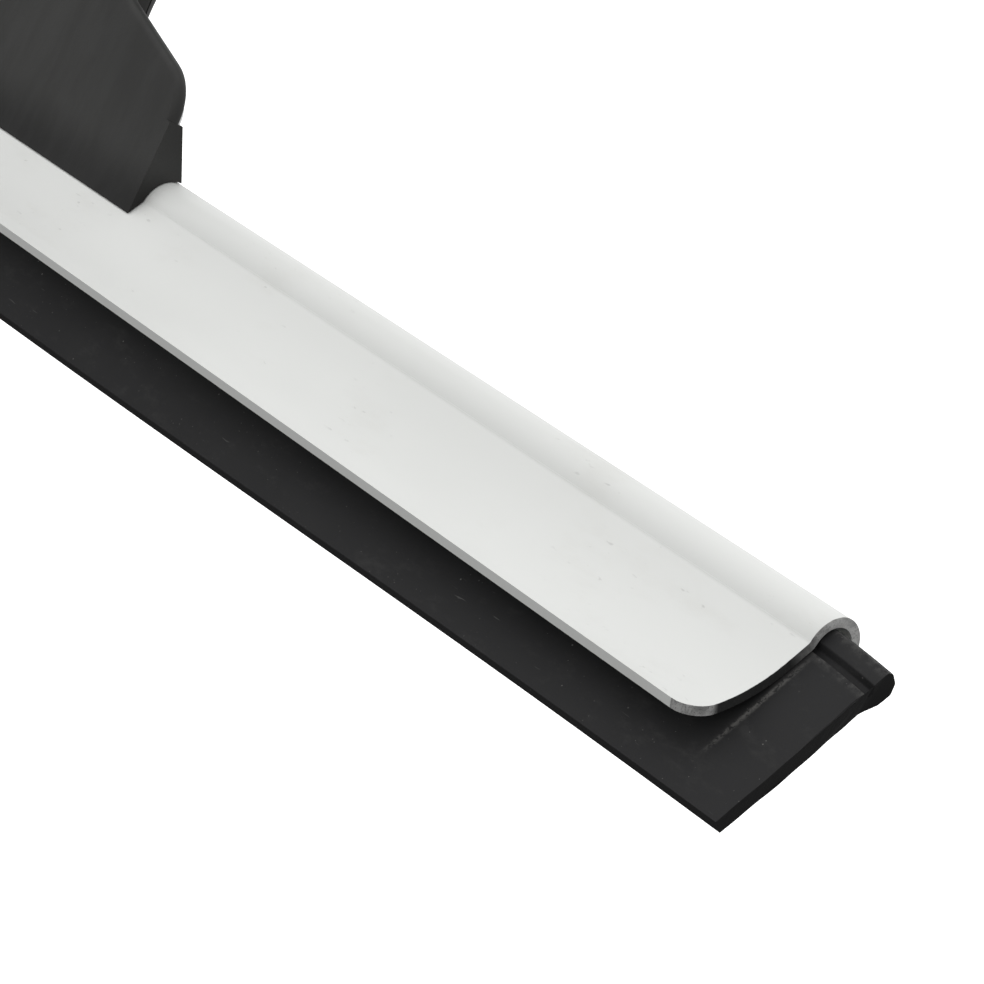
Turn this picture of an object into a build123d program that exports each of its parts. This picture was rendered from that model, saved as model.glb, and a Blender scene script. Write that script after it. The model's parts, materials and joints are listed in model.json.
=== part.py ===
from build123d import *
import math
import os

# Window cleaning squeegee: a two-shell handle with a screw clamp that grips a roll-formed steel
# channel, and a rubber blade held by its bead in the channel's curl.
#
# Millimetres. X runs along the blade, Z up the handle, and -Y is the front. The origin is the centre
# of the hanging hole, so the tool hangs below it. The handle and head are drawn from the "seat": the
# point where the foot of the head's flat front wall rests on the channel, at mid width.

# Channel: one bent sheet. Its section is drawn in (u, n) from the curl's centre, u up the blade
# from the lip to the curl and n out of the side that the head sits on.
CHANNEL_LENGTH = 300.0
SHEET = 1.1
CURL_R = 3.15                 # to the middle of the sheet
CURL_END = 172.0              # degrees round the back, where the curl's free edge meets the neck
CREASE_R = 1.3
PLATE_N = 2.6
FLARE_U = -4.62
FLARE_R = 20.35
FLARE_ANGLE = 27.8
LIP_LENGTH = 2.65
LIP_CORNER_R = 3.0
BLADE_TILT = 36.0             # between the blade's plane and the handle

# Rubber, in the same section: a flat web that tapers to the lip, and the bead's outline over the top
RUBBER_OVERHANG = 7.9         # past each end of the channel
RUBBER_LIP_U = -21.8
RUBBER_FRONT_N = 1.9
RUBBER_BACK_N = 0.25
BEAD_FRONT = [(-1.95, RUBBER_FRONT_N), (-1.75, 1.25), (-1.1, 1.25), (-0.75, 2.1), (1.15, 2.1)]
BEAD_BACK = [(1.6, 1.5), (1.5, 0.25), (0.6, -0.5), (-1.1, -0.5), (-3.4, -0.05)]
BEAD_FRONT_RADII = [0.15, 0.2, 0.2, 0.2, 0.2]
BEAD_BACK_RADII = [0.2, 0.4, 0.4, 0.8, 0.4]

# Head, measured from the seat
HEAD_HALF = 33.1
FOOT_OVERRUN = 1.5            # below the seat, where the channel's shape cuts the wall's foot
SIDE_HEIGHT = 12.3            # to the start of the shoulder's arc
SHOULDER_R = 6.3
SHOULDER_TURN = 72.0
NECK_HALF = 14.1
NECK_BLEND_R = 4.5
FRONT_WALL = 1.6
FRONT_ROUND = 0.9
REAR_ROUND = 0.6
CHEEK_TOP = 12.1
CHEEK_TOP_DEPTH = 2.05
CHEEK_FOOT = 3.2              # inside the curl, whose shape cuts the cheek's foot
CHEEK_DEPTH = 6.93
CHEEK_WALL = 2.6
RIB_WALL = 1.6
RIB_X = 24.5
BLOCK_HALF = 17.0
BLOCK_REAR = 10.8
BLOCK_TOP = 15.5
BLOCK_CORNER_R = 3.5
BLOCK_STEP_Y = 6.0
BLOCK_STEP_Z = 7.4
SEAT_GAP = 0.15

# Both kinds of screw, as shares of the head's height
HEAD_DOME = 0.6
SOCKET_DEPTH = 0.6

# Clamp
SCREW_X = 10.5
SCREW_Z = 9.9
THREAD_R = 2.0
THREAD_PLAY = 0.05
SCREW_LENGTH = 12.0
SCREW_HEAD_R = 3.8
SCREW_HEAD_H = 2.4
SCREW_SOCKET = 2.5            # across flats
SCREW_HOLE_R = 2.3
INSERT_R = 2.8
INSERT_FRONT = 3.0
INSERT_LENGTH = 7.4
INSERT_GROOVE = 0.3           # deep, round the insert's middle
INSERT_GROOVE_WIDTH = 1.2
WASHER_R = 4.4
WASHER_T = 0.8
JAW_HALF = 16.5
JAW_FRONT = 11.3
JAW_REAR = 14.6
JAW_TOP = 13.5
JAW_CORNER_R = 3.5
JAW_BACK_R = 1.5
JAW_HEEL = [(14.6, 4.5), (13.2, -1.6), (10.4, -4.3)]      # (y, z), down the back of the jaw
JAW_TOE = [(6.2, -4.5), (6.2, -1.0)]                      # under the curl
JAW_MOUTH_Z = (1.0, 6.6)      # the jaw's inner face beside the curl
JAW_MOUTH_DEPTH = 2.95        # behind the curl's centre
JAW_PAD = 0.8

# Handle: height, half width, depth, corner radius and front face of each cross-section
SECTIONS = [
    (12.0, 15.0, 8.0, 2.6, 0.0),
    (23.0, 14.0, 7.0, 2.4, 0.0),
    (42.0, 13.4, 12.5, 5.2, -0.8),
    (75.0, 15.0, 19.5, 8.4, -3.2),
    (108.0, 16.0, 22.0, 9.6, -4.2),
    (138.0, 14.6, 18.8, 8.2, -2.8),
    (160.0, 13.0, 14.0, 6.4, -0.5),
]
WALL = 3.0
PARTING_Y = 5.0
PARTING_GAP = 0.2
REAR_SHELL_FOOT = 16.3
CAVITY_FOOT = 27.0
CAVITY_TOP = 146.0
SHELL_SCREW_Z = (40.0, 151.0)
BOSS_R = 3.6
PILOT_FRONT = 1.2
PILOT_RUNOUT = 1.0
PILOT_R = 1.5
SELF_TAP_SEAT = 9.3           # depth at which both heads bear
SELF_TAP_LENGTH = 7.8
SELF_TAP_HEAD_R = 2.8
SELF_TAP_HEAD_H = 1.8
SELF_TAP_SOCKET = 1.6
SELF_TAP_HOLE_R = 1.7
COUNTERBORE_R = 3.1
PAD_DEPTH = 1.5
PAD_PROUD = 0.3
PAD_EDGE = 1.0                # from the shells' parting to either pad
PAD_BOTTOM = 52.0
PAD_TOP = 132.0
PAD_HALF = 8.6

# Tail cap
TAIL_FOOT = 160.3
HOLE_Z = 171.0
TAB_HALF = 11.0
TAB_Y = 6.5
TAB_THICKNESS = 9.0
TAB_ROUND = 2.2
TAB_NECK_RISE = 5.0           # over which the cap narrows to the tab
TAB_NECK_CORNER_R = 4.0
HOLE_R = 4.5
SPIGOT_HALF = 8.0
SPIGOT_DEPTH = 4.0
SPIGOT_GAP = 0.1
FAR = 200.0                   # past the tool on every side

FRONT_PAD_Y = (-FAR, PARTING_Y - PAD_EDGE)
REAR_PAD_Y = (PARTING_Y + PARTING_GAP + PAD_EDGE, FAR)
SEAT = Pos(0, -TAB_Y, -HOLE_Z)


def tilt(u, n):
    """Blade coordinates as (y, z) from the seat."""
    angle = math.radians(BLADE_TILT)
    along = u - FLARE_U
    out = n - PLATE_N - SHEET / 2
    y = along * math.sin(angle) - out * math.cos(angle)
    z = along * math.cos(angle) + out * math.sin(angle)
    return y, z


CURL_Y, CURL_Z = tilt(0, 0)


def blade_plane(x):
    """The (u, n) plane of the blade's section, facing +X."""
    angle = math.radians(BLADE_TILT)
    return Plane(
        origin=(x, CURL_Y, CURL_Z),
        x_dir=(0, math.sin(angle), math.cos(angle)),
        z_dir=(1, 0, 0),
    )


def blade_prism(face, length):
    """A prism of a (u, n) face, centred on mid width."""
    return extrude(blade_plane(-length / 2) * face, amount=length, dir=(1, 0, 0))


def sheet_line(offset):
    """The sheet's line from lip to crease, moved by offset towards +n."""
    reach = CURL_R + CREASE_R
    turn = math.degrees(math.acos((PLATE_N + CREASE_R) / reach))
    crease_u = -reach * math.sin(math.radians(turn))
    flat = Line((FLARE_U, PLATE_N + offset), (crease_u, PLATE_N + offset))
    flare = JernArc(flat @ 0, (-1, 0), FLARE_R - offset, -FLARE_ANGLE)
    lip = Line(flare @ 1, flare @ 1 + LIP_LENGTH * (flare % 1))
    crease = JernArc(flat @ 1, (1, 0), CREASE_R - offset, turn)
    return [lip, flare, flat, crease], turn


def sheet_curl(crease, turn, offset):
    """The curl that carries the sheet's line on, over the bead and round behind it."""
    return JernArc(crease @ 1, crease % 1, CURL_R + offset, -(90 + turn + CURL_END))


def blade_channel():
    outer, turn = sheet_line(SHEET / 2)
    inner, _ = sheet_line(-SHEET / 2)
    outer.append(sheet_curl(outer[-1], turn, SHEET / 2))
    inner.append(sheet_curl(inner[-1], turn, -SHEET / 2))
    lip_end = Line(outer[0] @ 1, inner[0] @ 1)
    curl_end = Line(outer[-1] @ 1, inner[-1] @ 1)
    channel = blade_prism(make_face([*outer, *inner, lip_end, curl_end]), CHANNEL_LENGTH)
    middle = lip_end @ 0.5
    lip_y, lip_z = tilt(middle.X, middle.Y)
    corners = [
        channel.edges().sort_by_distance((side * CHANNEL_LENGTH / 2, lip_y, lip_z))[0]
        for side in (-1, 1)
    ]
    return fillet(corners, LIP_CORNER_R)


def channel_envelope():
    """Everything on the rubber's side of the channel's outer face, with the head's clearance."""
    lines, turn = sheet_line(SHEET / 2 + SEAT_GAP)
    start = lines[0] @ 1
    end = lines[-1] @ 1
    deep = -3 * CURL_R
    border = Polyline(
        (start.X, start.Y), (start.X, deep), (0, deep), (0, 0), (end.X, end.Y)
    )
    under = make_face([*lines, border])
    disc = Circle(CURL_R + SHEET / 2 + SEAT_GAP)
    return blade_prism(under + disc, CHANNEL_LENGTH)


def squeegee_rubber():
    outline = FilletPolyline(
        (RUBBER_LIP_U, RUBBER_FRONT_N),
        *BEAD_FRONT,
        *BEAD_BACK,
        (RUBBER_LIP_U, RUBBER_BACK_N),
        radius=[*BEAD_FRONT_RADII, *BEAD_BACK_RADII],
    )
    lip = Line(outline @ 1, outline @ 0)
    length = CHANNEL_LENGTH + 2 * RUBBER_OVERHANG
    return blade_prism(make_face([outline, lip]), length)


def fan_outline():
    """The head from the front: straight sides, round shoulders and a sweep up into the neck."""
    turn = math.radians(SHOULDER_TURN)
    shoulder_in = (SHOULDER_R + NECK_BLEND_R) * (1 - math.cos(turn))
    ramp_length = (HEAD_HALF - NECK_HALF - shoulder_in) / math.sin(turn)
    side = Line((HEAD_HALF, -FOOT_OVERRUN), (HEAD_HALF, SIDE_HEIGHT))
    shoulder = JernArc(side @ 1, side % 1, SHOULDER_R, SHOULDER_TURN)
    ramp = Line(shoulder @ 1, shoulder @ 1 + ramp_length * (shoulder % 1))
    blend = JernArc(ramp @ 1, ramp % 1, NECK_BLEND_R, -SHOULDER_TURN)
    top = (blend @ 1).Y
    close = Polyline((NECK_HALF, top), (0, top), (0, -FOOT_OVERRUN), (HEAD_HALF, -FOOT_OVERRUN))
    half = make_face([side, shoulder, ramp, blend, close])
    return Plane.XZ * (half + mirror(half, about=Plane.YZ))


def fan_plate():
    """The head's front wall, rounded in front and round the back of its free edge."""
    plate = extrude(fan_outline(), amount=FRONT_WALL, dir=(0, 1, 0))
    front = plate.faces().sort_by(Axis.Y)[0]
    plate = fillet(front.edges(), FRONT_ROUND)
    rear = plate.faces().sort_by(Axis.Y)[-1]
    rim = [e for e in rear.edges() if e.center().Z > FRONT_WALL and abs(e.center().X) > NECK_HALF / 2]
    return fillet(rim, REAR_ROUND)


def wedge_wall(x, thickness):
    """A cheek or rib: the wedge between the front wall and the sloping back edge."""
    outline = Polyline(
        (0, 0), (0, CHEEK_TOP), (CHEEK_TOP_DEPTH, CHEEK_TOP), (CHEEK_DEPTH, CHEEK_FOOT), close=True
    )
    profile = Plane.YZ * make_face(outline)
    wall = extrude(profile, amount=thickness / 2, both=True)
    return Pos(x, 0, 0) * wall


def head_walls():
    """Both cheeks and both ribs, none of them showing past the front wall's outline."""
    walls = Part()
    for side in (-1, 1):
        walls += wedge_wall(side * (HEAD_HALF - CHEEK_WALL / 2), CHEEK_WALL)
        walls += wedge_wall(side * RIB_X, RIB_WALL)
    return walls & extrude(fan_outline(), amount=FAR, dir=(0, 1, 0))


def handle_loft(inset):
    """The handle's outside, drawn in by inset all round."""
    faces = [
        Pos(0, front + depth / 2, z)
        * RectangleRounded(2 * (half - inset), depth - 2 * inset, max(radius - inset, 0.4))
        for z, half, depth, radius, front in SECTIONS
    ]
    return loft(faces)


def slab(y_low, y_high, z_low, z_high):
    """A wide box between two heights and two depths."""
    box = Box(4 * HEAD_HALF, y_high - y_low, z_high - z_low)
    return Pos(0, (y_low + y_high) / 2, (z_low + z_high) / 2) * box


def rod(x, y_low, y_high, z, radius):
    """A cylinder along Y."""
    length = y_high - y_low
    return Pos(x, (y_low + y_high) / 2, z) * Rot(-90, 0, 0) * Cylinder(radius, length)


def pad_window(y_low, y_high):
    """The rounded slot that a grip pad fills, as a prism along Y."""
    slot = Plane.XZ * SlotOverall(PAD_TOP - PAD_BOTTOM, 2 * PAD_HALF, rotation=90)
    prism = extrude(slot, amount=y_high - y_low, dir=(0, 1, 0))
    return Pos(0, y_low, (PAD_TOP + PAD_BOTTOM) / 2) * prism


def hollow_handle():
    """The handle's wall, with the screw bosses, before it is parted."""
    cavity = handle_loft(WALL) & slab(-FAR, FAR, CAVITY_FOOT, CAVITY_TOP)
    cavity -= rod(0, -FAR, FAR, SHELL_SCREW_Z[0], BOSS_R)
    return handle_loft(0) - cavity


def pad_recess(y_low, y_high):
    """The room for a grip pad, down to its seat under the handle's surface."""
    return pad_window(y_low, y_high) - handle_loft(PAD_DEPTH)


def head_block():
    """The solid middle of the head, which holds the threaded inserts over the curl."""
    low = Pos(0, BLOCK_STEP_Y / 2, BLOCK_TOP / 2) * Box(2 * BLOCK_HALF, BLOCK_STEP_Y, BLOCK_TOP)
    height = BLOCK_TOP - BLOCK_STEP_Z
    high = Box(2 * BLOCK_HALF, BLOCK_REAR, height)
    high = Pos(0, BLOCK_REAR / 2, BLOCK_STEP_Z + height / 2) * high
    top_edges = high.edges().filter_by(Axis.Y).group_by(Axis.Z)[-1]
    return low + fillet(top_edges, BLOCK_CORNER_R)


def front_shell(handle):
    head = fan_plate() + head_block() + head_walls() - channel_envelope()
    shell = head + (handle & slab(-FAR, PARTING_Y, 0, FAR))
    shell += handle & slab(-FAR, FAR, 0, REAR_SHELL_FOOT - PARTING_GAP)
    for side in (-1, 1):
        x = side * SCREW_X
        shell -= rod(x, INSERT_FRONT, INSERT_FRONT + INSERT_LENGTH, SCREW_Z, INSERT_R)
        shell -= rod(x, INSERT_FRONT, FAR, SCREW_Z, SCREW_HOLE_R)
    for z in SHELL_SCREW_Z:
        shell -= rod(0, PILOT_FRONT, PARTING_Y + PILOT_RUNOUT, z, PILOT_R)
    shell -= tail_spigot(SPIGOT_GAP)
    return shell - pad_recess(*FRONT_PAD_Y)


def rear_shell(handle):
    shell = handle & slab(PARTING_Y + PARTING_GAP, FAR, REAR_SHELL_FOOT, FAR)
    for z in SHELL_SCREW_Z:
        shell -= rod(0, 0, FAR, z, SELF_TAP_HOLE_R)
        shell -= rod(0, SELF_TAP_SEAT, FAR, z, COUNTERBORE_R)
    shell -= tail_spigot(SPIGOT_GAP)
    return shell - pad_recess(*REAR_PAD_Y)


def tail_spigot(gap):
    """The cap's plug inside the handle's end."""
    height = TAIL_FOOT - CAVITY_TOP + 2 * gap
    plug = Box(2 * SPIGOT_HALF + 2 * gap, SPIGOT_DEPTH + 2 * gap, height)
    return Pos(0, TAB_Y, TAIL_FOOT - height / 2 + gap) * plug


def tail_cap():
    """The end cap with its hanging hole."""
    _, half, depth, radius, front = SECTIONS[-1]
    base = Pos(0, front + depth / 2, TAIL_FOOT) * RectangleRounded(2 * half, depth, radius)
    neck = RectangleRounded(2 * TAB_HALF, TAB_THICKNESS, TAB_NECK_CORNER_R)
    cap = loft([base, Pos(0, TAB_Y, TAIL_FOOT + TAB_NECK_RISE) * neck])
    disc = rod(0, TAB_Y - TAB_THICKNESS / 2, TAB_Y + TAB_THICKNESS / 2, HOLE_Z, TAB_HALF)
    cap += fillet(disc.edges().filter_by(GeomType.CIRCLE), TAB_ROUND)
    hole = rod(0, -FAR, FAR, HOLE_Z, HOLE_R)
    cap = cap + tail_spigot(0) - hole
    return cap - rod(0, 0, FAR, SHELL_SCREW_Z[-1], SELF_TAP_HOLE_R)


def grip_pad(y_low, y_high):
    """A soft pad that fills its slot and stands a little proud of the handle."""
    window = pad_window(y_low, y_high)
    return (window & handle_loft(-PAD_PROUD)) - handle_loft(PAD_DEPTH)


def socket_screw(radius, length, head_radius, head_height, socket):
    """A button-head screw along -Z whose head bears on Z = 0."""
    head = Pos(0, 0, head_height / 2) * Cylinder(head_radius, head_height)
    head = fillet(head.edges().sort_by(Axis.Z)[-1], head_height * HEAD_DOME)
    shank = Pos(0, 0, -length / 2) * Cylinder(radius, length)
    shank = chamfer(shank.edges().sort_by(Axis.Z)[0], radius / 4)
    recess = extrude(RegularPolygon(socket / 2, 6, major_radius=False), amount=head_height)
    return head + shank - Pos(0, 0, head_height * (1 - SOCKET_DEPTH)) * recess


def clamp_screw(side):
    screw = socket_screw(THREAD_R, SCREW_LENGTH, SCREW_HEAD_R, SCREW_HEAD_H, SCREW_SOCKET)
    return Pos(side * SCREW_X, JAW_REAR + WASHER_T, SCREW_Z) * Rot(-90, 0, 0) * screw


def clamp_washers():
    washers = []
    for side in (-1, 1):
        x = side * SCREW_X
        disc = rod(x, JAW_REAR, JAW_REAR + WASHER_T, SCREW_Z, WASHER_R)
        washers.append(disc - rod(x, 0, FAR, SCREW_Z, SCREW_HOLE_R))
    return washers


def threaded_inserts():
    inserts = []
    for side in (-1, 1):
        x = side * SCREW_X
        rear = INSERT_FRONT + INSERT_LENGTH
        insert = rod(x, INSERT_FRONT, rear, SCREW_Z, INSERT_R)
        groove_front = INSERT_FRONT + (INSERT_LENGTH - INSERT_GROOVE_WIDTH) / 2
        groove = rod(x, groove_front, groove_front + INSERT_GROOVE_WIDTH, SCREW_Z, 2 * INSERT_R)
        groove -= rod(x, 0, FAR, SCREW_Z, INSERT_R - INSERT_GROOVE)
        inserts.append(insert - groove - rod(x, 0, FAR, SCREW_Z, THREAD_R + THREAD_PLAY))
    return inserts


def shell_screws():
    screw = socket_screw(
        PILOT_R, SELF_TAP_LENGTH, SELF_TAP_HEAD_R, SELF_TAP_HEAD_H, SELF_TAP_SOCKET
    )
    return [Pos(0, SELF_TAP_SEAT, z) * Rot(-90, 0, 0) * screw for z in SHELL_SCREW_Z]


def curl_rod(radius):
    """A cylinder along the curl's axis."""
    return blade_prism(Circle(radius), CHANNEL_LENGTH)


def jaw_blank():
    """The jaw before its groove is cut: a flat arm over a hooked foot."""
    mouth_foot, mouth_top = JAW_MOUTH_Z
    inner = CURL_Y + JAW_MOUTH_DEPTH
    outline = Polyline(
        (JAW_FRONT, JAW_TOP),
        (JAW_REAR, JAW_TOP),
        *JAW_HEEL,
        *JAW_TOE,
        (inner, mouth_foot),
        (inner, mouth_top),
        (JAW_FRONT, mouth_top),
        close=True,
    )
    blank = extrude(Plane.YZ * make_face(outline), amount=JAW_HALF, both=True)
    corners = blank.edges().filter_by(Axis.Y).group_by(Axis.Z)[-1]
    blank = fillet(corners, JAW_CORNER_R)
    ridges = blank.edges().filter_by(Axis.X)
    heel = [ridges.sort_by_distance((0, y, z))[0] for y, z in JAW_HEEL]
    return fillet(heel, JAW_BACK_R)


def clamp_jaw():
    groove_r = CURL_R + SHEET / 2 + SEAT_GAP + JAW_PAD
    jaw = jaw_blank() - curl_rod(groove_r)
    for side in (-1, 1):
        jaw -= rod(side * SCREW_X, 0, FAR, SCREW_Z, SCREW_HOLE_R)
    return jaw


def jaw_pad():
    """The thin elastomer liner between the jaw's groove and the painted curl."""
    inner_r = CURL_R + SHEET / 2 + SEAT_GAP
    ring = curl_rod(inner_r + JAW_PAD) - curl_rod(inner_r)
    return jaw_blank() & ring


def save(name, shape):
    """Write one node; a list of solids becomes one group."""
    if isinstance(shape, list):
        shape = Compound(children=[SEAT * piece for piece in shape])
    else:
        shape = SEAT * shape
    shape.label = name
    export_step(shape, f"parts/{name}.step")


def main():
    os.makedirs("parts", exist_ok=True)
    handle = hollow_handle()
    nodes = {
        "blade_channel": blade_channel(),
        "squeegee_rubber": squeegee_rubber(),
        "front_shell": front_shell(handle),
        "rear_shell": rear_shell(handle),
        "front_grip_pad": grip_pad(*FRONT_PAD_Y),
        "rear_grip_pad": grip_pad(*REAR_PAD_Y),
        "tail_cap": tail_cap(),
        "shell_screws": shell_screws(),
        "threaded_inserts": threaded_inserts(),
        "clamp_jaw": clamp_jaw(),
        "jaw_pad": jaw_pad(),
        "clamp_washers": clamp_washers(),
        "clamp_screw_left": clamp_screw(-1),
        "clamp_screw_right": clamp_screw(1),
    }
    for name, shape in nodes.items():
        save(name, shape)


main()
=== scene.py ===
"""Window squeegee: the visual model and its studio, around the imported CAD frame.

Metres, in the CAD frame: +X along the blade, +Z up the handle, -Y the front. Shapes are worked out in
millimetres and scaled when their mesh is made. The blade's section is drawn in (u, n) from the curl's
centre: u up the blade from the lip to the curl, n out of the plate's outer face.
"""

import json
import math

import bmesh
import bpy
from mathutils import Matrix, Vector


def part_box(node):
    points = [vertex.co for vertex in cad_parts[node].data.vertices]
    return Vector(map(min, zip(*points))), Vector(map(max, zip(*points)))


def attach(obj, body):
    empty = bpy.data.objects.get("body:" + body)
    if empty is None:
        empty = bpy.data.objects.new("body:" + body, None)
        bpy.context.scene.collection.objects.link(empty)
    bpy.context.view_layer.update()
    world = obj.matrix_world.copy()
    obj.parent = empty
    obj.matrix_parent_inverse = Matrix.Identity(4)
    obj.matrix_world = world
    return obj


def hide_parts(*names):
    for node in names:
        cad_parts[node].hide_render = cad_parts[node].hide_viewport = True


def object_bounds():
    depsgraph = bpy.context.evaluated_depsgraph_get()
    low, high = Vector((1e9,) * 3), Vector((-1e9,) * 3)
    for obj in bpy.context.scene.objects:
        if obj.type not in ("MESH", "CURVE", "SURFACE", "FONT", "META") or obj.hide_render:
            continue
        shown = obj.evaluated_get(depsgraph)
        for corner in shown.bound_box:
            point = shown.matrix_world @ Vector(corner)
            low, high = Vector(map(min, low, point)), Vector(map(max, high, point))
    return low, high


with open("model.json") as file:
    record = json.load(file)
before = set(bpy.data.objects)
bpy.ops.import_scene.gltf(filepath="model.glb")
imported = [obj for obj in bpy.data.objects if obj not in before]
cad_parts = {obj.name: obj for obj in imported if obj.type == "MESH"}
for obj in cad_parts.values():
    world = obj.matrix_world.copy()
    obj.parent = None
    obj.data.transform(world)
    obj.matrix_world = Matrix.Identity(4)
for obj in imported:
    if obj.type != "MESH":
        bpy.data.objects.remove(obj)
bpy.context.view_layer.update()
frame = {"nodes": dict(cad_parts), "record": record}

MM = 0.001

# Blade section, as the CAD channel and rubber have it
SHEET = 1.1
CURL_R = 3.15
CURL_END = math.radians(172.0)
CREASE_R = 1.3
PLATE_N = 2.6
FLARE_U = -4.62
FLARE_R = 20.35
FLARE_ANGLE = math.radians(27.8)
LIP_LENGTH = 2.65
LIP_CORNER_R = 3.0
BLADE_TILT = math.radians(36.0)
RUBBER_LIP_U = -21.8
RUBBER_FRONT_N = 1.9
RUBBER_BACK_N = 0.25
BEAD_FRONT = [(-1.95, RUBBER_FRONT_N), (-1.75, 1.25), (-1.1, 1.25), (-0.75, 2.1), (1.15, 2.1)]
BEAD_BACK = [(1.6, 1.5), (1.5, 0.25), (0.6, -0.5), (-1.1, -0.5), (-3.4, -0.05)]
BEAD_RADII = [0.15, 0.2, 0.2, 0.2, 0.2, 0.2, 0.4, 0.4, 0.8, 0.4]

# What use has done to the rubber: a backward bow of its lip in mid width, and free ends that droop
# a little at the bead and were cut by hand
BOW = 4.6
BOW_ROOT_U = -4.0
DROOP = 0.65
DROOP_HEAD_U = -2.0
DROOP_FOOT_U = -10.0
DROOP_ROOT = 1.0                # inside the channel's end, where the droop starts
END_WAVE = 0.07
BEAD_BULGE = 0.2
BEAD_FOOT_U = -1.8
NECK_DIP = 0.1
NECK_U = -3.6
NECK_WIDTH = 1.5

# Wear on the rubber: a line rubbed beside the channel's end, and two polished edges as (u, n, spread)
RUB_FROM_END = 0.5
RUB_WIDTH = 0.22
RUB_MIDDLE_U = -9.5
RUB_HALF_LENGTH = 8.0
WEB_TOP_U = -2.2
FRONT_SIDE_N = 1.2
BEAD_EDGE = (1.2, 2.0, 0.25)
WEB_EDGE = (-1.9, 1.9, 0.12)

# Darkening of the sheet's cut end: where it starts below the curl, and the length over which it deepens
DARK_END_TOP_U = -1.2
DARK_END_FADE = 2.2

# Grip pads: shallow staggered dimples
DIMPLE_PITCH = 3.3
DIMPLE_ROW_PITCH = 3.3 * 0.866
DIMPLE_R = 1.15
DIMPLE_DEPTH = 0.35
PAD_BORDER = 2.2
PAD_BORDER_FADE = 0.5
PAD_VOXEL = 0.42
PAD_FACING = 0.3                # a dimple is only pressed where the surface faces out by this much
WELD_DISTANCE = 0.01

# Distances from a cut end at which the meshes have a row of vertices
END_ROWS = [0.0, 0.25, 0.5, 0.8, 1.2, 1.8, 2.6, 4.0, 6.0, 9.0, 14.0, 22.0, 34.0, 50.0, 75.0, 110.0]
RUBBER_END_STEP = 0.25
RUBBER_END_ZONE = 14.0
RUBBER_FAR_STEP = 7.2
RUBBER_FAR_ROWS = 20
RUBBER_SECTION_STEP = 0.9

# Heights over the head's foot between which its painted shade fades
FOOT_SHADE = (1.0, 7.5)

# Camera
VIEW_AZIMUTH = math.radians(43.26)
VIEW_ELEVATION = math.radians(8.84)
VIEW_ROLL = math.radians(26.05)
VIEW_DISTANCE = 400.0
VIEW_LENS = 128.05
SENSOR = 36.0
AIM_FROM_CURL = Vector((79.96, 21.96, -10.46))

# Studio
FLOOR_DROP = 200.0
FLOOR_SIZE = 60.0
KEY_DIRECTION = (-0.2, -0.45, 1.0)
KEY_DISTANCE = 1.1
KEY_SIZE = 0.9
KEY_POWER = 1.2
FLOOR_GLOW = 0.6
HORIZON_FADE = (-0.3, -0.03)    # heights of the direction between which the light from below fades
SIDE_FADE = (-0.1, 0.9)
WORLD_ABOVE = 1.06
WORLD_BELOW = 0.15
WORLD_DIM_SIDE = 0.6


# Materials --------------------------------------------------------------------------------------

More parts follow.
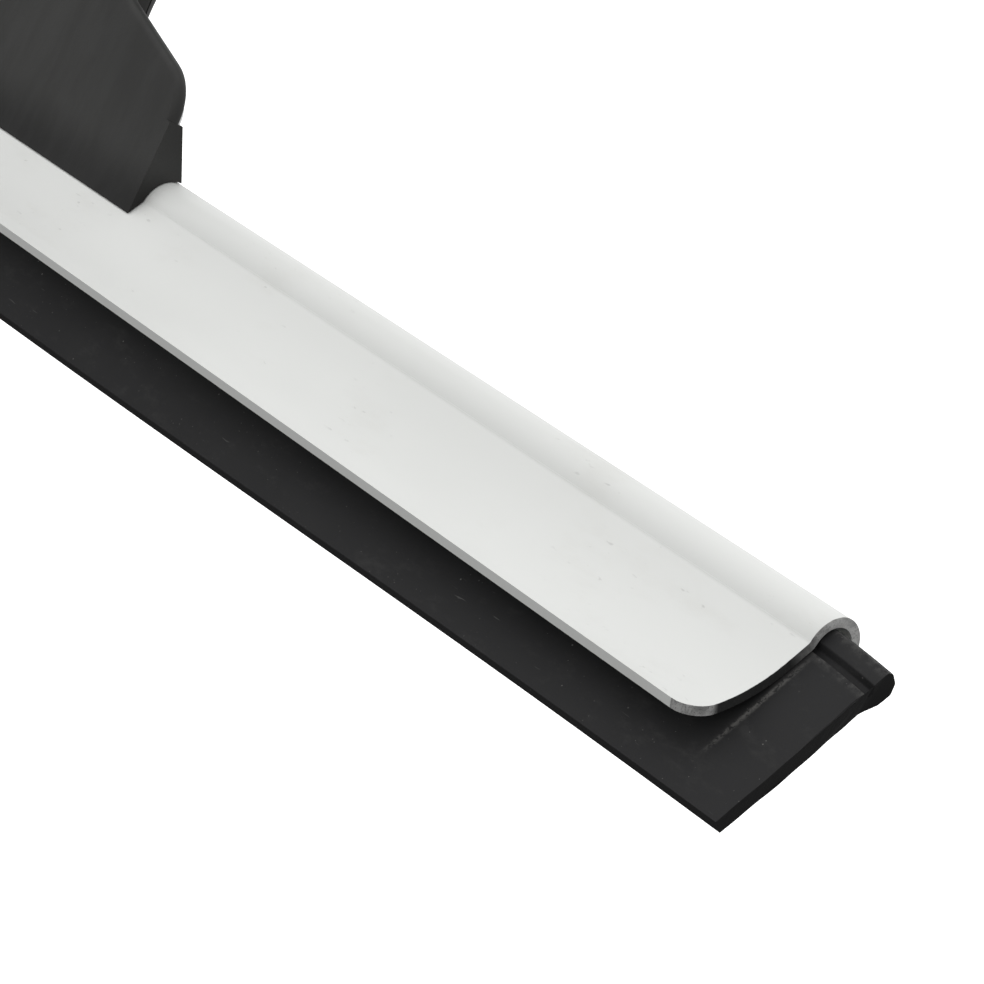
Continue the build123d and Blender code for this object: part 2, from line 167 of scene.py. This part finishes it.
class Shader:
    """A Principled material whose textures are measured in millimetres on the object."""

    def __init__(self, name, roughness=0.5, metallic=0.0, specular=0.5):
        self.material = bpy.data.materials.new(name)
        self.material.use_nodes = True
        self.tree = self.material.node_tree
        self.surface = self.tree.nodes["Principled BSDF"]
        self.surface.inputs["Roughness"].default_value = roughness
        self.surface.inputs["Metallic"].default_value = metallic
        self.surface.inputs["Specular IOR Level"].default_value = specular
        place = self.node("ShaderNodeTexCoord").outputs["Object"]
        scale = self.node("ShaderNodeVectorMath", operation="SCALE")
        scale.inputs["Scale"].default_value = 1 / MM
        self.connect(place, scale.inputs[0])
        self.mm = scale.outputs[0]

    def node(self, kind, **settings):
        made = self.tree.nodes.new(kind)
        for key, value in settings.items():
            setattr(made, key, value)
        return made

    def connect(self, value, socket):
        if isinstance(value, bpy.types.NodeSocket):
            self.tree.links.new(value, socket)
        else:
            socket.default_value = value

    def math(self, operation, a, b=0.0, clamp=False):
        made = self.node("ShaderNodeMath", operation=operation, use_clamp=clamp)
        self.connect(a, made.inputs[0])
        self.connect(b, made.inputs[1])
        return made.outputs[0]

    def stretched(self, size):
        """Coordinates in which one unit is size, a number or one for each axis."""
        sizes = size if isinstance(size, tuple) else (size,) * 3
        made = self.node("ShaderNodeVectorMath", operation="DIVIDE")
        self.connect(self.mm, made.inputs[0])
        made.inputs[1].default_value = sizes
        return made.outputs[0]

    def noise(self, size, detail=2.0, roughness=0.5):
        made = self.node("ShaderNodeTexNoise")
        self.connect(self.stretched(size), made.inputs["Vector"])
        made.inputs["Scale"].default_value = 1.0
        made.inputs["Detail"].default_value = detail
        made.inputs["Roughness"].default_value = roughness
        return made.outputs["Fac"]

    def specks(self, spacing, radius):
        """Round specks of about this radius, one in each cell of this spacing."""
        made = self.node("ShaderNodeTexVoronoi", feature="F1")
        self.connect(self.stretched(spacing), made.inputs["Vector"])
        made.inputs["Scale"].default_value = 1.0
        return self.ramp(made.outputs["Distance"], radius / spacing, 0.5 * radius / spacing)

    def ramp(self, value, low, high, out_low=0.0, out_high=1.0):
        made = self.node("ShaderNodeMapRange", interpolation_type="SMOOTHSTEP")
        turned = low > high
        self.connect(value, made.inputs["Value"])
        made.inputs["From Min"].default_value = min(low, high)
        made.inputs["From Max"].default_value = max(low, high)
        made.inputs["To Min"].default_value = out_high if turned else out_low
        made.inputs["To Max"].default_value = out_low if turned else out_high
        return made.outputs["Result"]

    def attribute(self, name):
        return self.node("ShaderNodeAttribute", attribute_name=name).outputs["Fac"]

    def axis(self, index):
        made = self.node("ShaderNodeSeparateXYZ")
        self.connect(self.mm, made.inputs[0])
        return made.outputs[index]

    def mix(self, factor, a, b):
        made = self.node("ShaderNodeMix", data_type="RGBA")
        self.connect(factor, made.inputs["Factor"])
        for value, socket in ((a, made.inputs[6]), (b, made.inputs[7])):
            self.connect((*value, 1.0) if isinstance(value, tuple) else value, socket)
        return made.outputs[2]

    def bump(self, height, depth, under=None):
        """A bump of this depth in millimetres for a height of 0 to 1, over another."""
        made = self.node("ShaderNodeBump")
        made.inputs["Distance"].default_value = depth * MM
        self.connect(height, made.inputs["Height"])
        if under is not None:
            self.connect(under, made.inputs["Normal"])
        return made.outputs["Normal"]

    def finish(self, color, roughness=None, normal=None, metallic=None):
        self.connect((*color, 1.0) if isinstance(color, tuple) else color, self.surface.inputs["Base Color"])
        for value, name in ((roughness, "Roughness"), (normal, "Normal"), (metallic, "Metallic")):
            if value is not None:
                self.connect(value, self.surface.inputs[name])
        return self.material


def channel_paint():
    """Satin off-white paint with handling smudges, chipped a little along the cut edges."""
    s = Shader("channel_paint", specular=0.35)
    cloud = s.noise(38.0, 3.0)
    smudge = s.noise((14.0, 6.0, 6.0), 5.0, 0.6)
    color = s.mix(s.ramp(cloud, 0.3, 0.7), (0.775, 0.785, 0.765), (0.80, 0.81, 0.79))
    color = s.mix(s.ramp(smudge, 0.52, 0.75, 0.0, 0.35), color, (0.71, 0.71, 0.68))
    marks = s.math("MULTIPLY", s.ramp(s.noise((1.6, 0.7, 0.7), 3.0), 0.66, 0.74), s.ramp(smudge, 0.5, 0.62))
    color = s.mix(s.math("MULTIPLY", marks, 0.35), color, (0.40, 0.40, 0.385))
    ragged = s.math("ADD", s.attribute("rim"), s.math("MULTIPLY", s.noise(0.8, 4.0), -0.5))
    chips = s.ramp(ragged, -0.24, -0.3)
    color = s.mix(chips, color, (0.40, 0.40, 0.39))
    roughness = s.ramp(smudge, 0.35, 0.7, 0.36, 0.5)
    skin = s.bump(s.noise(0.9, 2.0), 0.004)
    skin = s.bump(s.noise(7.0, 2.0), 0.02, skin)
    skin = s.bump(chips, -0.03, skin)
    return s.finish(color, roughness, skin)


def cut_edge():
    """The sheared edge of the sheet: bare metal, smeared across the thickness, darker from below the curl
    towards the lip.
    """
    s = Shader("cut_edge", metallic=0.3, specular=0.4)
    grain = s.noise(0.16, 3.0, 0.7)
    patch = s.noise(0.9, 3.0, 0.6)
    light = s.mix(s.ramp(patch, 0.3, 0.7), (0.36, 0.36, 0.355), (0.60, 0.60, 0.59))
    light = s.mix(s.ramp(grain, 0.52, 0.66, 0.0, 0.7), light, (0.14, 0.14, 0.137))
    dark = s.mix(s.ramp(grain, 0.55, 0.7), (0.036, 0.037, 0.037), (0.075, 0.075, 0.073))
    # the cut end turns darker from below the curl down towards the lip
    color = s.mix(s.attribute("end_darkening"), light, dark)
    burr = s.bump(grain, 0.02)
    return s.finish(color, s.ramp(patch, 0.3, 0.7, 0.42, 0.65), burr)


def shaded_cut_rubber():
    """The rubber's knife-cut ends: cleaner, and darker by painted shade, with the blade's drag lines."""
    s = Shader("shaded_cut_rubber", specular=0.2)
    drag = s.noise((3.0, 0.15, 1.5), 3.0)
    # painted shade: a darker copy of the blade's rubber for the ends, which face the dim +X side
    color = s.mix(s.ramp(drag, 0.3, 0.7), (0.006, 0.006, 0.0062), (0.0105, 0.0105, 0.0108))
    skin = s.bump(drag, 0.02)
    return s.finish(color, s.ramp(drag, 0.3, 0.7, 0.6, 0.75), skin)


def blade_rubber():
    """Black rubber with dust, pale scuffs and the mark that the channel's end has rubbed."""
    s = Shader("blade_rubber", specular=0.2)
    cloud = s.noise(9.0, 4.0, 0.6)
    color = s.mix(s.ramp(cloud, 0.3, 0.7), (0.019, 0.019, 0.0197), (0.027, 0.027, 0.0278))
    haze = s.ramp(s.noise((5.0, 2.5, 2.5), 6.0, 0.7), 0.52, 0.78, 0.0, 0.4)
    color = s.mix(haze, color, (0.055, 0.0545, 0.053))
    specks = s.math("MULTIPLY", s.specks(1.5, 0.13), s.ramp(s.noise(6.0, 2.0), 0.5, 0.62))
    fine = s.math("MULTIPLY", s.specks(0.7, 0.06), s.ramp(s.noise(4.0, 2.0), 0.45, 0.6))
    dust = s.math("MAXIMUM", specks, fine)
    color = s.mix(s.math("MULTIPLY", dust, 0.55), color, (0.24, 0.235, 0.225))
    scratch = s.noise((3.2, 0.35, 0.35), 2.0)
    scratch = s.math("MULTIPLY", s.ramp(scratch, 0.70, 0.76), s.ramp(s.noise(11.0, 2.0), 0.5, 0.6))
    color = s.mix(s.math("MULTIPLY", scratch, 0.4), color, (0.16, 0.16, 0.155))
    broken = s.ramp(s.noise(0.42, 4.0, 0.7), 0.36, 0.56)
    rubbed = s.math("MULTIPLY", s.attribute("rub"), broken)
    color = s.mix(s.math("MULTIPLY", rubbed, 0.75), color, (0.21, 0.205, 0.195))
    worn = s.math("MULTIPLY", s.attribute("ridge"), s.ramp(s.noise(1.1, 4.0, 0.7), 0.4, 0.65))
    color = s.mix(s.math("MULTIPLY", worn, 0.6), color, (0.10, 0.098, 0.094))
    roughness = s.ramp(cloud, 0.3, 0.7, 0.62, 0.82)
    skin = s.bump(s.noise(0.22, 3.0, 0.6), 0.010)
    skin = s.bump(s.noise(3.5, 3.0), 0.05, skin)
    return s.finish(color, roughness, skin)


def moulded(name, low, high, roughness, grain, depth, fibre=0.0, foot=None):
    """Black moulded plastic with a fine texture and handling marks, darkened over a foot by painted shade.
    """
    s = Shader(name, specular=0.3)
    cloud = s.noise(22.0, 3.0, 0.55)
    color = s.mix(s.ramp(cloud, 0.3, 0.7), low, high)
    wiped = s.noise((4.0, 4.0, 16.0), 5.0, 0.65)
    color = s.mix(s.ramp(wiped, 0.55, 0.8, 0.0, 0.25), color, tuple(1.5 * c for c in high))
    if fibre:
        strands = s.noise((0.5, 0.5, 3.0), 3.0)
        color = s.mix(s.ramp(strands, 0.58, 0.7, 0.0, fibre), color, tuple(3.0 * c for c in high))
    if foot is not None:
        # painted shade: the colour darkens towards the head's foot, where it meets the channel
        dark_tint = s.ramp(s.axis(2), foot + FOOT_SHADE[1], foot + FOOT_SHADE[0], 0.0, 0.85)
        color = s.mix(dark_tint, color, tuple(0.15 * c for c in low))
    texture = s.noise(grain, 3.0, 0.6)
    skin = s.bump(texture, depth)
    skin = s.bump(s.noise(12.0, 2.0), 0.06, skin)
    return s.finish(color, s.ramp(wiped, 0.35, 0.7, roughness, roughness + 0.14), skin)


def grip_rubber():
    """Soft over-moulded pad, paler where the palm has polished it."""
    s = Shader("grip_rubber", specular=0.3)
    cloud = s.noise(14.0, 4.0, 0.6)
    color = s.mix(s.ramp(cloud, 0.3, 0.7), (0.022, 0.022, 0.0225), (0.034, 0.034, 0.0345))
    lint = s.math("MULTIPLY", s.specks(2.2, 0.1), s.ramp(s.noise(9.0, 2.0), 0.5, 0.65))
    color = s.mix(s.math("MULTIPLY", lint, 0.5), color, (0.2, 0.195, 0.185))
    skin = s.bump(s.noise(0.25, 3.0, 0.6), 0.012)
    return s.finish(color, s.ramp(cloud, 0.3, 0.7, 0.66, 0.85), skin)


def screw_steel():
    """Zinc plated steel, faintly spotted, with turning marks about each screw's axis."""
    s = Shader("screw_steel", metallic=1.0)
    spot = s.noise(0.8, 4.0, 0.6)
    color = s.mix(s.ramp(spot, 0.35, 0.7), (0.56, 0.565, 0.575), (0.68, 0.68, 0.675))
    dark_tint = s.ramp(s.noise(2.6, 4.0, 0.65), 0.58, 0.75, 0.0, 0.45)
    color = s.mix(dark_tint, color, (0.33, 0.31, 0.27))
    turned = s.noise((0.6, 0.05, 0.6), 2.0)
    skin = s.bump(turned, 0.006)
    return s.finish(color, s.ramp(spot, 0.3, 0.7, 0.26, 0.42), skin)


def insert_brass():
    """Turned brass, dulled in the grooves."""
    s = Shader("insert_brass", metallic=1.0)
    dull = s.noise(1.2, 4.0, 0.6)
    color = s.mix(s.ramp(dull, 0.4, 0.7), (0.72, 0.53, 0.24), (0.50, 0.36, 0.17))
    skin = s.bump(s.noise((0.8, 0.06, 0.8), 2.0), 0.008)
    return s.finish(color, s.ramp(dull, 0.3, 0.7, 0.26, 0.45), skin)


# Blade section ----------------------------------------------------------------------------------

channel_low, channel_high = (Vector(corner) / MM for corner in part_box("blade_channel"))
rubber_low, rubber_high = (Vector(corner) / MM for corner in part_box("squeegee_rubber"))
HALF_CHANNEL = (channel_high.x - channel_low.x) / 2
HALF_RUBBER = (rubber_high.x - rubber_low.x) / 2
CURL_REACH = CURL_R + SHEET / 2
CURL = Vector((0, channel_high.y - CURL_REACH, channel_high.z - CURL_REACH))
U_DIR = Vector((0, math.sin(BLADE_TILT), math.cos(BLADE_TILT)))
N_DIR = Vector((0, -math.cos(BLADE_TILT), math.sin(BLADE_TILT)))


def placed(x, u, n):
    """A point of the blade, in metres."""
    return (CURL + Vector((x, 0, 0)) + u * U_DIR + n * N_DIR) * MM


def arc_points(centre, radius, start, sweep, step=math.radians(5)):
    """Points along an arc, ends included."""
    count = max(2, math.ceil(abs(sweep) / step))
    cu, cn = centre
    angles = [start + sweep * i / count for i in range(count + 1)]
    return [(cu + radius * math.cos(a), cn + radius * math.sin(a)) for a in angles]


def sheet_face(offset):
    """One face of the bent sheet from lip to curl; faces with other offsets have matching points."""
    reach = CURL_R + CREASE_R
    turn = math.acos((PLATE_N + CREASE_R) / reach)
    crease_u = -reach * math.sin(turn)
    down = math.radians(-90)
    flare = arc_points((FLARE_U, PLATE_N + FLARE_R), FLARE_R - offset, down - FLARE_ANGLE, FLARE_ANGLE,
                       math.radians(2))
    crease = arc_points((crease_u, PLATE_N + CREASE_R), CREASE_R - offset, down, turn)
    curl = arc_points((0, 0), CURL_R + offset, math.radians(90) + turn, -math.radians(90) - turn - CURL_END)
    heading = Vector((math.cos(FLARE_ANGLE), -math.sin(FLARE_ANGLE)))
    joint = Vector(flare[0])
    lip = [tuple(joint - d * heading) for d in lip_steps()]
    return lip + flare + crease + curl


def lip_steps():
    """Distances from the lip's inner end out to its edge, crowded where the corner is round."""
    count = 8
    return [LIP_LENGTH * math.cos(math.radians(90) * i / count) for i in range(count)]


def corner_setback(edge_distance):
    """How far the round corner draws the sheet's end in, at this distance from the lip's edge."""
    if edge_distance >= LIP_CORNER_R:
        return 0.0
    rise = LIP_CORNER_R - edge_distance
    return LIP_CORNER_R - math.sqrt(LIP_CORNER_R ** 2 - rise ** 2)


def stations(half, rows):
    """Pairs of a side and a distance from that side's end, from -X to +X."""
    left = [(-1, row) for row in rows]
    middle = [(-1, half)]
    right = [(1, row) for row in reversed(rows)]
    return left + middle + right


def new_piece(name, bm, materials, sharp=math.radians(40)):
    """Turn a bmesh in metres into a smooth-shaded object."""
    mesh = bpy.data.meshes.new(name)
    bmesh.ops.recalc_face_normals(bm, faces=bm.faces)
    bm.to_mesh(mesh)
    bm.free()
    for material in materials:
        mesh.materials.append(material)
    for polygon in mesh.polygons:
        polygon.use_smooth = True
    mesh.set_sharp_from_angle(angle=sharp)
    piece = bpy.data.objects.new(name, mesh)
    bpy.context.scene.collection.objects.link(piece)
    return piece


def soften_edges(piece, width):
    bevel = piece.modifiers.new("worn_edges", "BEVEL")
    bevel.width = width * MM
    bevel.segments = 2
    bevel.limit_method = "ANGLE"
    bevel.angle_limit = math.radians(45)
    bevel.harden_normals = True


def make_channel(paint, bare):
    """The bent sheet, with rounded lip corners and its cut edges as faces of their own."""
    bm = bmesh.new()
    rim = bm.verts.layers.float.new("rim")
    end_darkening = bm.verts.layers.float.new("end_darkening")
    faces = [sheet_face(SHEET / 2), sheet_face(-SHEET / 2)]
    middle = [Vector(p) for p in sheet_face(0)]
    along = [0.0]
    for a, b in zip(middle, middle[1:]):
        along.append(along[-1] + (b - a).length)
    columns = stations(HALF_CHANNEL, END_ROWS)
    grids = []
    for face in faces:
        grid = []
        for (u, n), distance in zip(face, along):
            row = []
            for side, inward in columns:
                setback = corner_setback(distance)
                x = side * max(HALF_CHANNEL - setback - inward, 0.0)
                vert = bm.verts.new(placed(x, u, n))
                vert[rim] = min(inward, along[-1] - distance)
                # the cut end darkens from below the curl down the plate, except at the lip's round corners
                dark_share = min(1.0, max(0.0, (DARK_END_TOP_U - u) / DARK_END_FADE))
                vert[end_darkening] = dark_share if distance > LIP_CORNER_R else 0.0
                row.append(vert)
            grid.append(row)
        grids.append(grid)
    outer, inner = grids
    last = len(columns) - 1
    for i in range(len(along) - 1):
        for grid in grids:
            for j in range(last):
                bm.faces.new((grid[i][j], grid[i][j + 1], grid[i + 1][j + 1], grid[i + 1][j]))
        for j in (0, last):
            cut = bm.faces.new((outer[i][j], outer[i + 1][j], inner[i + 1][j], inner[i][j]))
            cut.material_index = 1
    for i in (0, len(along) - 1):
        for j in range(last):
            bm.faces.new((outer[i][j], outer[i][j + 1], inner[i][j + 1], inner[i][j]))
    piece = new_piece("formed_channel", bm, (paint, bare))
    soften_edges(piece, 0.1)
    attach(piece, "channel")
    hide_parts("blade_channel")
    return piece


def rounded_outline(points, radii):
    """An open outline with each inner corner rounded."""
    outline = [points[0]]
    for before, corner, after, radius in zip(points, points[1:], points[2:], radii):
        corner = Vector(corner)
        back = (Vector(before) - corner).normalized()
        ahead = (Vector(after) - corner).normalized()
        half = back.angle(ahead) / 2
        centre = corner + (back + ahead).normalized() * radius / math.sin(half)
        start = corner + back * radius / math.tan(half) - centre
        end = corner + ahead * radius / math.tan(half) - centre
        sweep = math.remainder(math.atan2(end.y, end.x) - math.atan2(start.y, start.x), 2 * math.pi)
        outline += arc_points(centre, radius, math.atan2(start.y, start.x), sweep, math.radians(22))
    return outline + [points[-1]]


def divided(outline, step):
    """The outline with its long stretches cut into steps."""
    result = []
    for a, b in zip(outline, outline[1:]):
        start, end = Vector(a), Vector(b)
        count = max(1, math.ceil((end - start).length / step))
        result += [tuple(start.lerp(end, i / count)) for i in range(count)]
    return result + [outline[-1]]


def rubber_section():
    lip = [(RUBBER_LIP_U, RUBBER_FRONT_N), (RUBBER_LIP_U, RUBBER_BACK_N)]
    corners = [lip[0], *BEAD_FRONT, *BEAD_BACK, lip[1]]
    outline = divided(rounded_outline(corners, BEAD_RADII), RUBBER_SECTION_STEP)
    return outline + [(RUBBER_LIP_U, (RUBBER_FRONT_N + RUBBER_BACK_N) / 2)]


def bow(x, u):
    """How far the lip has taken a set backwards."""
    across = max(0.0, 1 - (x / HALF_CHANNEL) ** 2) ** 2
    down = max(0.0, (BOW_ROOT_U - u) / (BOW_ROOT_U - RUBBER_LIP_U))
    return BOW * across * down ** 2


def end_offset(side, u, n):
    """How far a cut end stands out: the knife's wander, the dip under the bead and the bead's bulge."""
    wander = math.sin(0.42 * u + side) + 0.4 * math.sin(1.3 * u + 2 * side + 0.8 * n)
    dip = math.exp(-((u - NECK_U) / NECK_WIDTH) ** 2)
    bead = 1 / (1 + math.exp(-3 * (u - BEAD_FOOT_U)))
    return END_WAVE * wander + BEAD_BULGE * bead - NECK_DIP * dip


def droop(x, u):
    """How far a free end's bead has sagged towards the lip."""
    root = HALF_CHANNEL - DROOP_ROOT
    free = max(0.0, (abs(x) - root) / (HALF_RUBBER - root))
    high = min(1.0, max(0.0, (u - DROOP_FOOT_U) / (DROOP_HEAD_U - DROOP_FOOT_U)))
    return DROOP * free ** 1.5 * high


def edge_wear(u, n, edge):
    """1 on an edge of the section, fading away from it."""
    edge_u, edge_n, spread = edge
    return math.exp(-(((u - edge_u) ** 2 + (n - edge_n) ** 2) / spread))


def make_rubber(material, cut):
    """The rubber, with its bowed lip, uneven ends, and marks for its wear."""
    bm = bmesh.new()
    rub = bm.verts.layers.float.new("rub")
    ridge = bm.verts.layers.float.new("ridge")
    section = rubber_section()
    end_rows = [RUBBER_END_STEP * i for i in range(int(RUBBER_END_ZONE / RUBBER_END_STEP))]
    far_rows = [RUBBER_END_ZONE + RUBBER_FAR_STEP * i for i in range(RUBBER_FAR_ROWS)]
    columns = stations(HALF_RUBBER, end_rows + far_rows)
    grid = []
    for u, n in section:
        row = []
        for side, inward in columns:
            fade = max(0.0, 1 - inward / RUBBER_END_ZONE)
            x = side * (HALF_RUBBER - inward + fade ** 2 * end_offset(side, u, n))
            vert = bm.verts.new(placed(x, u - droop(x, u), n - bow(x, u)))
            front = 1.0 if n > FRONT_SIDE_N and u < WEB_TOP_U else 0.0
            beside_end = math.exp(-((abs(x) - HALF_CHANNEL - RUB_FROM_END) / RUB_WIDTH) ** 2)
            reach = max(0.0, 1 - ((u - RUB_MIDDLE_U) / RUB_HALF_LENGTH) ** 2)
            vert[rub] = front * beside_end * reach
            vert[ridge] = max(edge_wear(u, n, BEAD_EDGE), edge_wear(u, n, WEB_EDGE))
            row.append(vert)
        grid.append(row)
    count = len(section)
    for i in range(count):
        here, after = grid[i], grid[(i + 1) % count]
        for j in range(len(columns) - 1):
            bm.faces.new((here[j], here[j + 1], after[j + 1], after[j]))
    for j in (0, len(columns) - 1):
        cap = bm.faces.new([row[j] for row in grid])
        # the cut ends take the second material, darkened by painted shade
        cap.material_index = 1
        bmesh.ops.triangulate(bm, faces=[cap])
    piece = new_piece("blade_rubber_strip", bm, (material, cut), math.radians(50))
    soften_edges(piece, 0.08)
    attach(piece, "rubber")
    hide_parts("squeegee_rubber")
    return piece


def remeshed(node, voxel):
    """A copy of a CAD node's mesh with an even mesh of small quads."""
    copy = bpy.data.objects.new("remeshed", node.data.copy())
    bpy.context.scene.collection.objects.link(copy)
    weld = copy.modifiers.new("weld", "WELD")
    weld.merge_threshold = WELD_DISTANCE * MM
    remesh = copy.modifiers.new("remesh", "REMESH")
    remesh.mode = "VOXEL"
    remesh.voxel_size = voxel * MM
    smooth = copy.modifiers.new("smooth", "SMOOTH")
    smooth.iterations = 4
    evaluated = copy.evaluated_get(bpy.context.evaluated_depsgraph_get())
    mesh = bpy.data.meshes.new_from_object(evaluated)
    bpy.data.objects.remove(copy)
    return mesh


def dimple(x, z):
    """Depth of the staggered dimples at this place on a pad."""
    row = round(z / DIMPLE_ROW_PITCH)
    shift = DIMPLE_PITCH / 2 if row % 2 else 0.0
    column = round((x - shift) / DIMPLE_PITCH)
    away = math.hypot(x - shift - column * DIMPLE_PITCH, z - row * DIMPLE_ROW_PITCH)
    return DIMPLE_DEPTH * max(0.0, 1 - (away / DIMPLE_R) ** 2)


def make_grip(name, node_name, outward, material):
    """A soft pad with dimples in its outer face, which looks towards outward along Y."""
    low, high = (Vector(corner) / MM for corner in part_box(node_name))
    half = (high.x - low.x) / 2
    mesh = remeshed(frame["nodes"][node_name], PAD_VOXEL)
    for vertex in mesh.vertices:
        x, z = vertex.co.x / MM, vertex.co.z / MM
        end = min(high.z - z, z - low.z)
        border = half - math.hypot(x, max(0.0, half - end))
        inside = min(1.0, max(0.0, (border - PAD_BORDER) / PAD_BORDER_FADE))
        if vertex.normal.y * outward > PAD_FACING:
            vertex.co.y -= outward * inside * dimple(x, z - low.z) * MM
    bm = bmesh.new()
    bm.from_mesh(mesh)
    bpy.data.meshes.remove(mesh)
    piece = new_piece(name, bm, (material,), math.radians(60))
    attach(piece, "handle")
    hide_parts(node_name)
    return piece


# Studio -----------------------------------------------------------------------------------------

def make_camera():
    back = Vector((
        math.sin(VIEW_AZIMUTH) * math.cos(VIEW_ELEVATION),
        -math.cos(VIEW_AZIMUTH) * math.cos(VIEW_ELEVATION),
        math.sin(VIEW_ELEVATION),
    ))
    data = bpy.data.cameras.new("camera")
    data.lens = VIEW_LENS
    data.sensor_width = SENSOR
    data.clip_start = 0.01
    camera = bpy.data.objects.new("camera", data)
    bpy.context.scene.collection.objects.link(camera)
    roll = Matrix.Rotation(VIEW_ROLL, 3, "Z").to_quaternion()
    camera.rotation_mode = "QUATERNION"
    camera.rotation_quaternion = (-back).to_track_quat("-Z", "Y") @ roll
    camera.location = (CURL + AIM_FROM_CURL + back * VIEW_DISTANCE) * MM
    bpy.context.scene.camera = camera


def area_light(name, direction, distance, size, power):
    """A square light that faces the middle of the channel."""
    data = bpy.data.lights.new(name, "AREA")
    data.size = size
    data.energy = power
    light = bpy.data.objects.new(name, data)
    bpy.context.scene.collection.objects.link(light)
    toward = Vector(direction).normalized()
    light.location = CURL * MM + toward * distance
    light.rotation_mode = "QUATERNION"
    light.rotation_quaternion = toward.to_track_quat("Z", "Y")


def make_floor():
    """A wide pale floor, well below the hanging tool, that throws no light up at it."""
    low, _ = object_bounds()
    mesh = bpy.data.meshes.new("floor")
    bm = bmesh.new()
    bmesh.ops.create_grid(bm, x_segments=2, y_segments=2, size=FLOOR_SIZE / 2)
    bm.to_mesh(mesh)
    bm.free()
    floor = bpy.data.objects.new("floor", mesh)
    bpy.context.scene.collection.objects.link(floor)
    floor.location = (0, 0, low[2] - FLOOR_DROP * MM)
    s = Shader("studio_floor", roughness=0.9, specular=0.1)
    s.surface.inputs["Emission Color"].default_value = (1.0, 1.0, 1.0, 1.0)
    s.surface.inputs["Emission Strength"].default_value = FLOOR_GLOW
    tone = s.mix(s.noise(900.0, 2.0), (0.93, 0.93, 0.925), (0.96, 0.96, 0.958))
    mesh.materials.append(s.finish(tone))
    floor.visible_diffuse = False
    floor.visible_glossy = False


def make_world():
    """Soft light from above, with little from below and less from the +X side."""
    world = bpy.data.worlds.new("studio")
    world.use_nodes = True
    tree = world.node_tree
    direction = tree.nodes.new("ShaderNodeTexCoord").outputs["Generated"]
    split = tree.nodes.new("ShaderNodeSeparateXYZ")
    tree.links.new(direction, split.inputs[0])

    def fade(axis, span, first, last):
        made = tree.nodes.new("ShaderNodeMapRange")
        made.interpolation_type = "SMOOTHSTEP"
        made.inputs["From Min"].default_value = span[0]
        made.inputs["From Max"].default_value = span[1]
        made.inputs["To Min"].default_value = first
        made.inputs["To Max"].default_value = last
        tree.links.new(split.outputs[axis], made.inputs["Value"])
        return made.outputs["Result"]

    product = tree.nodes.new("ShaderNodeMath")
    product.operation = "MULTIPLY"
    tree.links.new(fade("Z", HORIZON_FADE, WORLD_BELOW, WORLD_ABOVE), product.inputs[0])
    tree.links.new(fade("X", SIDE_FADE, 1.0, WORLD_DIM_SIDE), product.inputs[1])
    tree.links.new(product.outputs[0], tree.nodes["Background"].inputs["Strength"])
    tree.nodes["Background"].inputs["Color"].default_value = (1.0, 1.0, 1.0, 1.0)
    bpy.context.scene.world = world


# Build ------------------------------------------------------------------------------------------

looks = {
    "handle_plastic": moulded(
        "handle_plastic", (0.027, 0.027, 0.026), (0.035, 0.035, 0.0335), 0.46, 0.3, 0.010,
        foot=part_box("front_shell")[0][2] / MM,
    ),
    "jaw_plastic": moulded(
        "jaw_plastic", (0.016, 0.016, 0.0165), (0.022, 0.022, 0.0225), 0.48, 0.45, 0.016, fibre=0.3,
    ),
    "grip_rubber": grip_rubber(),
    "screw_steel": screw_steel(),
    "insert_brass": insert_brass(),
    "channel_paint": channel_paint(),
    "blade_rubber": blade_rubber(),
}
for subpart in frame["record"]["subparts"]:
    mesh = frame["nodes"][subpart["node"]].data
    mesh.materials.clear()
    mesh.materials.append(looks[subpart["material_slot"]])

make_channel(looks["channel_paint"], cut_edge())
make_rubber(looks["blade_rubber"], shaded_cut_rubber())
make_grip("front_grip", "front_grip_pad", -1, looks["grip_rubber"])
make_grip("rear_grip", "rear_grip_pad", 1, looks["grip_rubber"])
make_camera()
make_world()
make_floor()
area_light("key", KEY_DIRECTION, KEY_DISTANCE, KEY_SIZE, KEY_POWER)
bpy.context.scene.view_settings.view_transform = "Standard"
